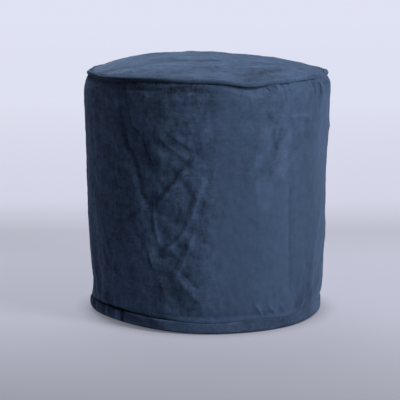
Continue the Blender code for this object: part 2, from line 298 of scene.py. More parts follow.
# Painted highlights and painted shade along the side's folds, puckers and back seam.
SIDE_SHADING_STROKES = table(Line,
    # the long stripe and its spur
    (-0.62, 7.2, 6.2, ((-43.4, 420), (-41.6, 356), (-38.8, 322), (-36, 302), (-33.3, 282), (-31.2, 258),
      (-29.2, 226), (-27.8, 180))),
    (0.34, 2, 7, ((-30.6, 286), (-28, 258), (-26.6, 236))),
    (-0.42, 3, 2.4, ((-39.6, 420), (-38.2, 384), (-36.2, 360), (-33.5, 344), (-31, 332))),
    # the V
    (-0.6, 3, 2, ((-32, 340), (-29, 315), (-27.2, 299), (-25.2, 282))),
    (0.26, 6, 1, ((-33.6, 342), (-31.2, 324), (-29, 304))),
    (-0.34, 5, 1, ((-25, 341), (-22, 336), (-18.5, 322), (-15, 314), (-12.5, 305), (-8.8, 294))),
    (0.24, 1, 8, ((-16, 322), (-13, 313), (-10.5, 307), (-7, 303))),
    (-0.24, 3.4, 1, ((-19, 358), (-17.4, 344), (-14.5, 335), (-10, 325), (-7, 318), (-4.4, 306))),
    (-0.62, 8.6, 1.4, ((-4.4, 312), (-7, 300), (-10, 288), (-13, 273), (-15.5, 260), (-18.5, 247.5),
      (-22, 232), (-25.4, 217), (-26.6, 208))),
    (0.34, 1, 4, ((-12, 271), (-14.6, 258), (-17.7, 245), (-21.2, 229.5), (-25, 216))),
    # the ridge below it, and the folds at the middle
    (0.66, 1.2, 3.6, ((-27, 240), (-25.8, 222), (-25.1, 205), (-24.2, 185), (-23.3, 168),
      (-21.8, 145))),
    (-0.3, 3.4, 1, ((-28.2, 226), (-26.6, 204), (-25.7, 186), (-24.7, 166))),
    (0.36, 4, 4, ((-1, 262), (-2.8, 242), (-4.4, 222), (-6, 202), (-8.2, 190))),
    (-0.55, 4.8, 2, ((-2.6, 262), (-4.8, 244), (-6.8, 225), (-8.2, 203))),
    (-0.4, 2.4, 2.4, ((0.4, 266), (0.5, 250), (-0.5, 235), (-2, 215), (-3.4, 196))),
    (-0.18, 2.2, 2.2, ((4, 298), (2.5, 276), (0.8, 262))),
    (0.44, 1.8, 3, ((-7.6, 198), (-11, 174), (-14, 163), (-17, 150), (-21.4, 134))),
    (-0.4, 4, 1, ((-10, 184), (-13.6, 170), (-17, 157), (-21, 146))),
    (0.3, 2, 3, ((-4.4, 194), (-6.8, 166), (-9, 145), (-11.4, 121), (-13.8, 106), (-17, 92))),
    (-0.58, 5, 1.4, ((-11.4, 152), (-12.8, 132), (-14.8, 116), (-17.6, 98))),
    # over the foot, and thin lines at the lower left
    (0.36, 2, 3.6, ((-13.6, 98), (-10, 88), (-7, 77), (-4, 60))),
    (-0.34, 6, 1, ((-14.5, 96), (-10, 79), (-6.4, 65), (-3.4, 54), (-0.6, 36))),
    (-0.4, 3, 3.4, ((-9.4, 102), (-7, 91), (-4, 79))),
    (-0.2, 1.8, 1.8, ((-0.6, 63), (1.6, 56), (4.6, 49))),
    (-0.5, 2.2, 1.8, ((-31.2, 176), (-29.6, 155), (-28.1, 138), (-26.4, 120), (-24.6, 100))),
    (-0.22, 2.2, 1.8, ((-25.4, 112), (-22.7, 86), (-20.2, 65), (-18.4, 46))),
    (-0.26, 2, 2, ((-36.2, 206), (-34.4, 189), (-32.8, 174))),
    (-0.26, 2, 2, ((-29, 227), (-34, 205), (-38, 195), (-44, 189), (-49, 159), (-55, 125))),
    (-0.28, 3, 3, ((-44.6, 264), (-50, 230), (-54.5, 203))),
    # the left-hand side
    (-0.26, 4, 3, ((-54, 338), (-62, 324), (-70, 314))),
    (-0.26, 3, 3, ((-55, 302), (-61, 292), (-66, 274))),
    (-0.22, 3, 3, ((-58, 396), (-65, 378), (-73, 366))),
    # the right-hand side
    (0.14, 10, 1.2, ((40.6, 270), (41, 224), (41.4, 154), (42.2, 40))),
    (-0.12, 1.2, 12, ((41, 270), (41.4, 224), (41.8, 154), (42.6, 40))),
    (0.2, 4, 6, ((70, 215), (66, 176), (62, 136), (60, 100), (58, 46))),
    (-0.24, 6, 10, ((76, 130), (69, 86), (62.5, 44))),
    (0.28, 4, 4, ((10, 419.5), (16, 415), (22, 409), (29, 406))),
    (0.3, 1.8, 3, ((39.5, 368), (44, 370), (50, 368.5), (56, 360))),
    (-0.16, 3, 1, ((39.5, 361), (46, 362.5), (54, 357))),
    (0.2, 4, 2, ((44, 349), (49, 347), (55, 343))),
    (0.26, 2, 3, ((44, 306), (41, 292), (38, 280), (34.8, 260))),
    (-0.16, 2, 2, ((11.6, 308), (12.8, 296), (13.6, 284))),
    # the middle, under the piping and over the band
    (0.34, 2.2, 3, ((-2, 420), (-1.2, 404), (-2.4, 384))),
    (-0.34, 3, 3, ((-4.6, 408), (-4.6, 396), (-3.2, 384))),
    (-0.3, 3, 3, ((-12, 362), (-9, 365.5), (-5, 372))),
    (0.26, 2, 3, ((-12, 36), (-17, 33.5), (-24, 32.5))),
    # puckers and gathers under the piping at the right
    (-0.95, 2, 1.4, ((27, 424), (28.2, 420), (29.6, 416.5))),
    (-0.95, 2, 1.4, ((30.6, 425.5), (31.8, 421.5), (33.2, 418.5))),
    (-0.85, 1.8, 1.4, ((34.4, 426.5), (35.6, 423), (36.8, 420.5))),
    (-0.8, 1.8, 1.4, ((38.4, 427), (39.6, 424), (40.8, 421.5))),
    (-0.6, 3.4, 2, ((56.6, 424), (57, 413), (57.4, 402))),
    (-0.75, 3.6, 2.2, ((61.2, 424), (61.6, 411), (62, 398))),
    (-0.8, 4, 2.6, ((65.6, 424), (66, 409), (66.4, 394))),
    (-0.85, 4.4, 3, ((70.4, 424), (70.8, 408), (71.2, 392))),
    # the seam at the back
    (-0.6, 2, 2, ((180, 416), (180, 220), (180, 30))),
    # puckers above the band
    (0.3, 2, 3, ((23.6, 48), (25.8, 38), (28.2, 28))),
    (-0.4, 3, 3, ((26.4, 42), (28.4, 33), (30.6, 25))),
    (0.24, 2, 3, ((30.4, 46), (32.4, 36), (34.6, 27))),
)
# Patches of the side's nap: partly the pile's own lighter and darker nap, partly painted highlights and
# painted shade.
SIDE_NAP_AND_SHADING_PATCHES = table(Patch,
    # the front left
    (-0.3, -8, 408, 56, 20),
    (-0.16, -26, 408, 44, 22),
    (-0.35, -22, 376, 30, 14),
    (-0.3, 1, 392, 18, 10),
    (-0.3, 1.8, 406, 6, 8),
    (0.2, -15, 362, 14, 7, -1),
    (-0.22, 3.5, 346, 16, 5),
    (-0.32, -20, 290, 22, 17),
    (0.2, -1.5, 292, 10, 10),
    (0.3, -24.5, 250, 10, 14),
    (-0.4, -22, 124, 22, 10, -0.6),
    (-0.18, -27.5, 180, 8, 34),
    (-0.2, -22.6, 140, 9, 10, 0.5),
    (-0.26, -15, 141, 12, 7),
    (-0.5, -11.4, 103.5, 9, 5),
    (-0.34, -14, 64, 36, 24, -0.9),
    (0.24, -7.6, 82, 10, 6, -1.4),
    (0.26, -12.6, 45, 6, 6),
    (0.2, 4, 110, 24, 80),
    (0.16, -33, 70, 34, 36),
    (0.18, -38, 140, 22, 50),
    (0.16, -19, 180, 20, 24),
    (-0.3, -56, 110, 10, 20),
    (-0.3, -66, 95, 14, 70),
    (0.52, -49, 402, 20, 28),
    (0.34, -33, 378, 18, 26),
    (0.34, -23.6, 349, 4, 13),
    (0.55, -3, 320, 6, 9),
    (0.45, -17.4, 252, 3.6, 4),
    (-0.34, -15.3, 262, 5.5, 6, 0.9),
    (-0.4, -31.5, 230, 9, 14),
    (0.16, -49, 200, 18, 60),
    (0.22, -31, 136, 20, 34),
    (0.14, -21, 162, 14, 16),
    (-0.26, -19, 86, 20, 22),
    (-0.38, -9, 356, 20, 14),
    (0.3, 3.5, 358, 18, 14),
    (0.5, -19, 212, 18, 18),
    (0.8, -20.5, 221, 12, 11),
    (0.4, -22.6, 82, 4, 10),
    (0.24, -31, 45, 55, 9),
    (0.18, -46, 300, 10, 30),
    (-0.24, -53, 210, 6, 12, 0.6),
    # the right-hand side
    (0.16, 34, 388, 24, 20),
    (-0.32, 29, 375, 7, 7),
    (-0.32, 30.5, 342, 6, 10),
    (-0.26, 31, 312, 6, 18),
    (0.32, 27, 242, 16, 34),
    (0.28, 25.5, 346, 7, 13),
    (-0.25, 27, 284, 10, 12, 0.2),
    (0.26, 23.6, 300, 5, 12),
    (0.22, 24, 256, 5, 12),
    (0.3, 38, 322, 11, 22, 0.3),
    (0.24, 35.6, 284, 10, 22, 0.5),
    (-0.3, 33.6, 330, 4.5, 22, 0.3),
    (-0.26, 29.8, 276, 4.5, 18, 0.3),
    (0.26, 29, 330, 5, 20),
    (-0.2, 50, 330, 18, 16),
    (-0.16, 12, 372, 26, 2.4),
    (0.16, 12, 361, 24, 2.6),
    (-0.14, 11, 335, 20, 2.4),
    (-0.26, 8, 395, 16, 7),
    (-0.24, 22, 192, 5, 12, -0.7),
    (0.1, 28, 220, 20, 34),
    (0.12, 30, 110, 30, 60),
    (-0.1, 53, 240, 20, 120),
    (-0.26, 57, 370, 24, 60),
    (-0.14, 57, 200, 20, 100),
    (-0.26, 58, 60, 40, 50),
    (-0.34, 56, 46, 26, 26),
    (-0.16, 20, 300, 16, 50),
    (0.14, 70, 340, 40, 60),
    # the back
    (-0.26, 125, 200, 60, 80, 0.5),
    (0.2, 150, 300, 50, 60),
    (-0.22, -110, 280, 50, 60),
    (0.2, -145, 150, 60, 50),
)
CROWN_CREASES = table(Line,
    (2.2, 7, 4, ((-96, -108), (-41, -137), (9, -139), (52, -96))),
    (-1.4, 14, 9, ((-178, -85), (-130, -112))),
    (1.8, 6, 5, ((-168, -120), (-126, -140))),
    (2, 10, 6, ((-120, -30), (-28, -62), (60, -50))),
    (-1.4, 12, 12, ((52, -178), (100, -140), (145, -100))),
    (1.8, 8, 6, ((75, -70), (146, -52))),
    (-1.4, 14, 14, ((-60, 120), (30, 90), (90, 110))),
    (1.4, 4, 4, ((-158, -100), (-136, -120), (-124, -142))),
    (1.2, 10, 12, ((-160, 60), (-110, 20), (-50, 30))),
    (1, 12, 10, ((100, 40), (150, 70))),
)
# Painted highlights along the crown's ridges and painted shade in its valleys, with more light and dark
# streaks.
CROWN_SHADING_STROKES = table(Line,
    (0.4, 6, 4, ((-96, -110), (-41, -138), (9, -140), (50, -98))),
    (0.55, 3, 3, ((-90, -113), (-40, -112), (10, -106), (50, -98))),
    (0.45, 3, 3, ((-150, -108), (-130, -126), (-118, -146))),
    (-0.35, 3, 3, ((-140, -100), (-116, -122), (-104, -150))),
    (0.3, 8, 6, ((-125, -34), (-28, -64), (60, -52))),
    (0.4, 8, 8, ((-180, -75), (-150, -20), (-120, 40))),
    (-0.3, 10, 10, ((40, -178), (100, -142), (145, -100))),
    (0.3, 8, 10, ((72, -72), (146, -54))),
    (-0.45, 12, 10, ((-70, -88), (-20, -94), (30, -86))),
    (-0.25, 6, 6, ((56, -110), (90, -90), (130, -80))),
    (0.35, 4, 6, ((60, -128), (100, -108), (140, -90))),
    (-0.4, 5, 5, ((-150, -90), (-120, -104), (-92, -98))),
)


# ---- small maths
def ramp(value, start, end):
    share = np.clip((value - start) / (end - start), 0.0, 1.0)
    return share * share * (3.0 - 2.0 * share)


def bell(distance, half_width):
    share = np.clip(np.abs(distance) / half_width, 0.0, 1.0)
    return 0.5 + 0.5 * np.cos(math.pi * share)


def hump(value, centre, width):
    return np.exp(-(((value - centre) / width) ** 2))


def turn_between(angle, other):
    return (angle - other + 180.0) % 360.0 - 180.0


def near(angle, deg, half_width):
    """1 at a heading, falling to 0 at half_width degrees to either side."""
    return bell(turn_between(angle, deg), half_width)


def risen(rises, angle=None):
    """Sum of the rises at some angles, or else at the headings of the columns."""
    angle = HEADINGS if angle is None else angle
    return sum(rise.amount * near(angle, rise.deg, rise.half_width) for rise in rises)


def shaded(shades, angle, distance):
    """Sum of the painted shades at a distance from the edge that they lie along."""
    total = 0.0
    for shade in shades:
        faded = 1.0 - ramp(distance, shade.start, shade.end)
        total = total + shade.amount * near(angle, shade.deg, shade.half_width) * faded
    return total


def round_points(angle, radius, height):
    turn = np.radians(angle)
    flat = (radius * np.sin(turn), -radius * np.cos(turn))
    return np.stack(np.broadcast_arrays(*flat, height), -1)


def even_angles(count):
    """Headings from the back seam round to it again."""
    return -180.0 + 360.0 * np.arange(count) / count


def turns_round(count):
    """Radians once round a section."""
    return 2.0 * math.pi * np.arange(count) / count


def close_headings(count):
    """Headings round from the back seam, closer together at the front than at the back."""
    fine = np.linspace(-180.0, 180.0, 7201)
    density = 1.0 + FRONT_EXTRA * (1.0 - ramp(np.abs(fine), 60.0, 95.0))
    so_far = np.concatenate([[0.0], np.cumsum((density[1:] + density[:-1]) / 2)])
    return np.interp(np.arange(count) / count * so_far[-1], so_far, fine)


HEADINGS = close_headings(COLUMNS)
HEADINGS_ACROSS = np.radians(HEADINGS) * MEAN_RADIUS


def at_headings(field):
    """Reads a field whose columns are spaced evenly round at the closer-set headings."""
    count = field.shape[1]
    place = (HEADINGS + 180.0) / 360.0 * count
    left = np.floor(place).astype(int)
    share = place - left
    return field[:, left % count] * (1.0 - share) + field[:, (left + 1) % count] * share


def blur_weights(shape, blur_down, blur_round):
    """What a Gaussian blur keeps of each frequency of a field."""
    down = np.fft.fftfreq(shape[0])[:, None] * blur_down
    across = np.fft.fftfreq(shape[1])[None, :] * blur_round
    return np.exp(-2.0 * math.pi**2 * (down**2 + across**2))


def smooth_noise(seed, shape, blur_down, blur_round):
    """Evenly random bumps blurred to a size in rows and columns, wrapping round, with deviation 1."""
    white = np.random.default_rng(seed).standard_normal(shape)
    field = np.fft.ifft2(np.fft.fft2(white) * blur_weights(shape, blur_down, blur_round)).real
    return field / field.std()


def round_noise(seed, rows, blur_down, wide):
    """Random bumps at the headings, blurred over a number of rows and a width in metres."""
    columns_wide = wide / (ROUND / EVEN_COLUMNS)
    return at_headings(smooth_noise(seed, (rows, EVEN_COLUMNS), blur_down, columns_wide))


def blurred(field, blur_down, blur_round):
    """Gaussian blur: mirrored up and down, wrapping round."""
    rows = len(field)
    tall = np.concatenate([field[::-1], field, field[::-1]])
    weights = blur_weights(tall.shape, blur_down, blur_round)
    return np.fft.ifft2(np.fft.fft2(tall) * weights).real[rows : 2 * rows]


def crown_noise(x, y, seed, size):
    """Random bumps of a given size in plan, read from a square patch of noise."""
    cells = 256
    half = 0.22
    spacing = 2 * half / cells
    field = smooth_noise(seed, (cells, cells), size / spacing / 2, size / spacing / 2)
    column = np.clip((x + half) / spacing, 0, cells - 1.001)
    row = np.clip((y + half) / spacing, 0, cells - 1.001)
    left, low = column.astype(int), row.astype(int)
    right_share, high_share = column - left, row - low
    upper = field[low + 1, left] * (1 - right_share) + field[low + 1, left + 1] * right_share
    lower = field[low, left] * (1 - right_share) + field[low, left + 1] * right_share
    return lower * (1 - high_share) + upper * high_share


# ---- shapes read from the frame
def node_points(name):
    return np.array([vertex.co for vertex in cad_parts[name].data.vertices])


def read_round(points, values, angles, reach=3.0):
    """Values known at scattered points round the drum, averaged near each heading."""
    known = np.degrees(np.arctan2(points[:, 0], -points[:, 1]))
    weight = np.exp(-((turn_between(angles[:, None], known[None, :]) / reach) ** 2))
    return weight @ values / weight.sum(axis=1)


def seam_heights(angles):
    """Height of the piping's centre line."""
    points = node_points("top_piping") - np.array([TOP_SHIFT, 0.0, 0.0])
    return read_round(points, points[:, 2], angles) + risen(SEAM_RISES, angles)


def band_edges(angles):
    """Outer radius and top height of the band."""
    points = node_points("base_band")
    up = points[:, 2]
    radius = np.hypot(points[:, 0], points[:, 1])
    low, high = (share * BAND_HEIGHT for share in BAND_FACE)
    face = (up > low) & (up < high) & (radius > BAND_INNER + 0.002)
    top = up > BAND_TOP * BAND_HEIGHT
    outer = read_round(points[face], radius[face], angles, 6.0)
    height = read_round(points[top], up[top], angles, 6.0) + 0.0008
    return outer, height + risen(BAND_TOP_RISES, angles)


def side_radii(angle, height):
    """Distance from the axis to the frame's drum, for grids of headings and heights."""
    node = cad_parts["side_panel"].data
    corners = [vertex.co for vertex in node.vertices]
    tree = BVHTree.FromPolygons(corners, [tuple(face.vertices) for face in node.polygons])
    found = np.empty(angle.shape)
    for index in np.ndindex(angle.shape):
        turn = math.radians(angle[index])
        outward = Vector((math.sin(turn), -math.cos(turn), 0.0))
        place = tree.ray_cast(Vector((0.0, 0.0, height[index])), outward)[0]
        found[index] = math.hypot(place.x, place.y)
    return found


# ---- fields of creases and nap
def peaked(distance, reach):
    """Falls away from a softly rounded crest."""
    soft = 0.0014
    return np.exp((soft - np.sqrt(distance**2 + soft**2)) / reach)


def filled(distance, reach):
    """Even over the reach, then gone."""
    return 1.0 - ramp(distance, 0.15 * reach, 1.25 * reach)


def wrapped(sideways):
    """Distances round the side, taken the short way."""
    return (sideways + ROUND / 2) % ROUND - ROUND / 2


def from_path(path, sideways, up):
    """Distance from each place to the path, negative on its left flank, and the share of the
    path's length at which it is nearest. sideways is measured from the path's first point."""
    legs = np.diff(path, axis=0)
    lengths = np.hypot(legs[:, 0], legs[:, 1])
    so_far = np.concatenate([[0.0], np.cumsum(lengths)])
    nearest = np.full(sideways.shape, np.inf)
    signed = np.zeros_like(sideways)
    along = np.zeros_like(sideways)
    for leg, length, start, begin in zip(legs, lengths, path, so_far):
        from_start = sideways - (start[0] - path[0, 0])
        above = up - start[1]
        share = np.clip((from_start * leg[0] + above * leg[1]) / length**2, 0.0, 1.0)
        gap = np.hypot(from_start - share * leg[0], above - share * leg[1])
        side = np.sign(leg[0] * above - leg[1] * from_start)
        closer = gap < nearest
        nearest = np.where(closer, gap, nearest)
        signed = np.where(closer, gap * side, signed)
        along = np.where(closer, (begin + share * length) / so_far[-1], along)
    return signed, along


def flat_path(line, on_side):
    """A line's points on the flat cloth, in metres."""
    first, second = np.array(line.path, float).T
    across = np.radians(first) * MEAN_RADIUS if on_side else first / MM
    return np.stack([across, second / MM], -1)


def line_field(lines, across, up, on_side=True, profile=peaked):
    """Sum of the lines' amounts at each place, fading over their flanks and towards their ends."""
    taper = 0.22
    total = np.zeros_like(across)
    for line in lines:
        path = flat_path(line, on_side)
        sideways = across - path[0, 0]
        if on_side:
            sideways = wrapped(sideways)
        signed, along = from_path(path, sideways, up)
        flank = profile(np.abs(signed), np.where(signed < 0, line.left, line.right) / MM)
        total += line.amount * flank * ramp(along, 0.0, taper) * ramp(1.0 - along, 0.0, taper)
    return total


def patch_field(nap_and_shading_patches, across, up):
    """Sum of the soft-edged oval patches at each place. A lean slants a patch across, by height."""
    total = np.zeros_like(across)
    for patch in nap_and_shading_patches:
        above = up - patch.up / MM
        sideways = wrapped(across - math.radians(patch.deg) * MEAN_RADIUS) - patch.lean * above
        away = np.hypot(sideways / (patch.half_across / MM), above / (patch.half_up / MM))
        total += patch.amount * (1.0 - ramp(away, 0.75, 1.25))
    return total


# ---- meshes
def placed(name, data):
    thing = bpy.data.objects.new(name, data)
    bpy.context.scene.collection.objects.link(thing)
    return thing


def quads_round(rows, columns, closed_down):
    """Quads between rows that wrap round. closed_down joins the last row to the first."""
    step = np.arange(columns)
    after = (step + 1) % columns
    above = np.arange(rows if closed_down else rows - 1)
    upper = above[:, None] * columns
    lower = ((above + 1) % rows)[:, None] * columns
    quads = np.stack([upper + step, lower + step, lower + after, upper + after], -1)
    return quads.reshape(-1, 4).tolist()


def fan_round(row, columns, pole, is_top):
    """Triangles that close a row to a pole above or below it."""
    step = np.arange(columns)
    first, second = row * columns + step, row * columns + (step + 1) % columns
    if not is_top:
        first, second = second, first
    return np.stack([first, second, np.full(columns, pole)], -1).tolist()


def grid_piece(name, points, flat, closed_down=False, top=None, bottom=None, nap_and_painted_light=0.0, crush=0.7):
    """A mesh of rows that wrap round. flat holds each point's place on the flat cloth, as its UV.
    A top or bottom point closes the rows with a fan."""
    rows, columns = points.shape[:2]
    places = points.reshape(-1, 3).tolist()
    faces = quads_round(rows, columns, closed_down)
    for pole, row, is_top in ((top, 0, True), (bottom, rows - 1, False)):
        if pole is not None:
            faces += fan_round(row, columns, len(places), is_top)
            places.append(pole)
    poles = len(places) - rows * columns
    mesh = bpy.data.meshes.new(name)
    mesh.from_pydata(places, [], faces)
    layer = mesh.uv_layers.new(name="flat")
    flats = np.concatenate([flat.reshape(-1, 2), np.zeros((poles, 2))])
    corners = np.empty(len(mesh.loops), np.int32)
    mesh.loops.foreach_get("vertex_index", corners)
    layer.data.foreach_set("uv", flats[corners].astype(np.float32).ravel())
    for key, field in (("nap_and_painted_light", nap_and_painted_light), ("crush", crush)):
        values = np.broadcast_to(field, (rows, columns)).ravel()
        values = np.concatenate([values, np.full(poles, values[0])])
        layer = mesh.attributes.new(key, "FLOAT", "POINT")
        layer.data.foreach_set("value", values.astype(np.float32))
    mesh.update()
    mesh.shade_smooth()
    return placed(name, mesh)


def settle(piece, material, node):
    """Gives a piece its material, hangs it under the root body and hides the frame's part it stands
    for.
    """
    piece.data.materials.append(material)
    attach(piece, "root")
    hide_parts(node)


def crown_height(share, edge):
    """Height of the crown at a share of its radius, over an edge at a given height."""
    return edge + (CROWN_TOP - edge) * (1.0 - share**CROWN_POWER)


# ---- side cloth
def wall_heights(low, high):
    """Rows from the piping down to the band, close together in the stretch under the piping."""
    rim = np.linspace(0.0, RIM_STRETCH, RIM_ROWS, endpoint=False)
    below = np.linspace(RIM_STRETCH, 1.0, WALL_ROWS - RIM_ROWS)
    down = np.concatenate([rim, below])
    shares = np.where(down < RIM_STRETCH, 0.0, (down - RIM_STRETCH) / (1.0 - RIM_STRETCH))[:, None]
    start = high - np.minimum(down, RIM_STRETCH)[:, None]
    return start + shares * (low - start)


def seam_gathers(angle, below_seam):
    """Short ruffles that hang from the piping, longest at the right-hand side."""
    fullest = 0.007
    depth = 0.0005 + risen(GATHER_DEPTHS, angle)
    reach = 0.008 + risen(GATHER_REACHES, angle)
    faded = np.exp(-np.abs(below_seam - fullest) / reach) * ramp(below_seam, 0.002, fullest)
    ruffles = round_noise(3, len(angle), 11, 0.0030)
    return depth * faded * np.sign(ruffles) * np.abs(ruffles) ** 0.8


def foot_gathers(angle, above_band):
    """Ruffles that rise from the band, longest where the cloth is taken in."""
    fullest = 0.006
    depth = 0.0004 + risen(RUFFLE_DEPTHS, angle)
    reach = 0.010 + risen(RUFFLE_REACHES, angle)
    faded = np.exp(-np.abs(above_band - fullest) / reach) * ramp(above_band, -0.001, 0.004)
    return depth * faded * round_noise(4, len(angle), 14, 0.0046)


def back_seam(angle, free):
    """The upright seam at the back: a groove with the cloth drawn in beside it."""
    away = np.abs(turn_between(angle, 180.0)) * math.pi / 180.0 * MEAN_RADIUS
    groove = -0.0022 * hump(away, 0.0, 0.0034)
    drawn_in = 0.0006 * round_noise(5, len(angle), 2.0, 0.022) * np.exp(-away / 0.014)
    return (groove + drawn_in) * free


def crests(seed, rows, blur_down, wide):
    """Noise with sharp crests, as crumpled cloth has."""
    return 0.8 - np.abs(round_noise(seed, rows, blur_down, wide))


def side_movement(angle, across, up, below_seam, above_band, crush):
    """How far the cloth of the side stands out from the frame's smooth drum."""
    rows = len(angle)
    free = ramp(below_seam, 0.004, 0.026) * ramp(above_band, -0.001, 0.012)
    move = line_field(SIDE_CREASES, across, up) / MM
    move = move + 0.0006 * round_noise(1, rows, 13, 0.022)
    move = move + 0.0005 * crush * crests(6, rows, 4.0, 0.0070)
    move = move + 0.0002 * round_noise(2, rows, 1.8, 0.0035)
    move = move * free
    move = move + seam_gathers(angle, below_seam) + foot_gathers(angle, above_band)
    return move + back_seam(angle, free)


def side_nap_and_painted_light(across, up, move, crush):
    """Painted highlights and painted shade along creases and on the cloth's crests and hollows, patches
    of nap that are partly painted light and shade, and crushed pile all over.
    """
    rows = len(across)
    across = across + 0.0010 * round_noise(13, rows, 2.2, 0.0050)
    up = up + 0.0010 * round_noise(14, rows, 2.2, 0.0050)
    shading_strokes = line_field(SIDE_SHADING_STROKES, across, up, profile=filled)
    shading_strokes = shading_strokes * (1.0 + 0.18 * round_noise(17, rows, 1.6, 0.0030))
    nap_and_shading_patches = patch_field(SIDE_NAP_AND_SHADING_PATCHES, across, up)
    nap_and_shading_patches = nap_and_shading_patches * (1.0 + 0.16 * round_noise(18, rows, 2.0, 0.0040))
    # painted highlight on the crests and painted shade in the hollows of the cloth's relief
    raised = move - blurred(move, 3.6, 4.5)
    nap_and_painted_light = 0.72 * shading_strokes + 0.62 * nap_and_shading_patches + 0.08 * np.clip(raised / 0.0012, -1.0, 1.0)
    mottled = 0.07 * round_noise(15, rows, 3.8, 0.0070) + 0.09 * round_noise(16, rows, 1.4, 0.0027)
    return nap_and_painted_light + mottled * crush


def leaning(angle, height):
    """How far the left-hand and right-hand sides stand out from the frame's drum."""
    heights, left, right = zip(*SIDE_LEANS)
    at_left = np.interp(height, heights, left) * near(angle, -85.0, 80.0)
    return at_left + np.interp(height, heights, right) * near(angle, 88.0, 50.0)


def drum_radii():
    """The frame's drum, read on an even grid, smoothed over its facets and given at the headings."""
    even = even_angles(EVEN_COLUMNS // 2)
    height = wall_heights(band_edges(even)[1] - BEHIND_BAND, seam_heights(even) - NECK_DROP)
    radius = side_radii(np.broadcast_to(even, height.shape), height)
    return at_headings(blurred(radius, 1.5, 1.8))


def turned_in(radius, below_seam):
    """The wall's radius, rounded in at its top to where it is sewn to the piping."""
    ring = PIPING_RING + TOP_SHIFT * np.sin(np.radians(HEADINGS))
    ring = ring + 0.0004 * round_noise(7, 1, 1, 0.015)[0]
    neck = ring + NECK_OUT + risen(NECK_RISES)
    turned = np.sin(np.clip((below_seam - NECK_DROP) / RIM_STRETCH, 0.0, 1.0) * math.pi / 2)
    rounded = neck + (radius[RIM_ROWS] - neck) * turned
    share = 1.0 - ramp(below_seam, 0.012, NECK_DROP + RIM_STRETCH)
    return radius + share * (rounded - radius)


def sewn_to_band(radius, above_band, band_outer):
    """The wall's radius, brought out to the band at its foot and drawn in at the front left."""
    foot = ramp(above_band, -BEHIND_BAND, 0.0) * (1.0 - ramp(above_band, 0.002, 0.016))
    face = band_outer - 0.0012 - risen(FOOT_INSIDE)
    radius = radius + foot * np.maximum(face - radius, 0.0)
    radius = radius - risen(FOOT_DRAWN_IN) * (1.0 - ramp(above_band, 0.0, 0.0075))
    return np.where(above_band < 0.002, np.maximum(radius, SIDE_INNER), radius)


def crushing(angle, height):
    """How crushed the pile is, from 1 down: the right-hand side is calm but for a scuffed patch."""
    calm = ramp(angle, -6.0, 12.0) * (1.0 - ramp(angle, 95.0, 140.0))
    scuffed = ramp(height, 0.24, 0.30) * near(angle, 30.0, 34.0)
    return 1.0 - (0.80 - 0.34 * scuffed) * calm


def side_wall():
    """Grids of the drum's wall: points, flat places, nap and painted light, and crush, with the
    piping's heights.
    """
    seam = seam_heights(HEADINGS)
    band_outer, band_top = band_edges(HEADINGS)
    height = wall_heights(band_top - BEHIND_BAND, seam - NECK_DROP)
    rows = len(height)
    angle = np.broadcast_to(HEADINGS, height.shape)
    across = np.broadcast_to(HEADINGS_ACROSS, height.shape)
    below_seam = seam - height
    above_band = height - band_top
    crush = crushing(angle, height)
    wavy_across = across + 0.0006 * round_noise(11, rows, 10, 0.020)
    wavy_up = height + 0.0006 * round_noise(12, rows, 10, 0.020)
    move = side_movement(angle, wavy_across, wavy_up, below_seam, above_band, crush)
    radius = turned_in(drum_radii() + leaning(angle, height), below_seam) + move
    points = round_points(angle, sewn_to_band(radius, above_band, band_outer), height)
    nap_and_painted_light = side_nap_and_painted_light(wavy_across, wavy_up, move, crush)
    # painted shade above the band and under the piping
    nap_and_painted_light = nap_and_painted_light + shaded(FOOT_SHADES, angle, above_band) + shaded(SEAM_SHADES, angle, below_seam)
    return points, np.stack([across, height], -1), nap_and_painted_light, crush, seam


def side_lid(neck, seam):
    """Rings that close the side at its top, hidden under the crown."""
    neck_radius = np.hypot(neck[:, 0] - TOP_SHIFT, neck[:, 1])
    rings = []
    for share in LID_SHARES:
        ring = round_points(HEADINGS, neck_radius * share, crown_height(share, seam) - CROWN_GAP)
        ring[:, 0] += TOP_SHIFT * share**2 + CROWN_LEAN * (1.0 - share**2)
        rings.append(ring)
    return np.array(rings)


def side_floor():
    """Rings that close the side at its foot, hidden behind the band and over the base."""
    lifted = risen(SIDE_FLOOR_LIFTS)
    narrowed = 1.0 - risen(FOOT_NARROWED)
    rings = (
        (SIDE_INNER, SIDE_FLOOR + 0.002 + lifted),
        (BAND_INNER - 0.003, SIDE_FLOOR + 0.7 * lifted),
        (0.1, SIDE_FLOOR),
    )
    return np.array([round_points(HEADINGS, radius * narrowed, up) for radius, up in rings])


def side_piece():
    """The side, with the filling it holds, as one closed body."""
    wall, flat, nap_and_painted_light, crush, seam = side_wall()
    lid, foot = side_lid(wall[0], seam), side_floor()
    hidden = ((len(lid), len(foot)), (0, 0))
    piece = grid_piece(
        "side_cloth",
        np.concatenate([lid, wall, foot]),
        np.pad(flat, (*hidden, (0, 0)), mode="edge"),
        top=(CROWN_LEAN, 0.0, CROWN_TOP - CROWN_GAP),
        bottom=(0.0, 0.0, SIDE_FLOOR),
        nap_and_painted_light=np.pad(nap_and_painted_light, hidden),
        crush=np.pad(crush, hidden),
    )
    settle(piece, velvet("side_velvet", SIDE_COLOUR), "side_panel")
    return piece


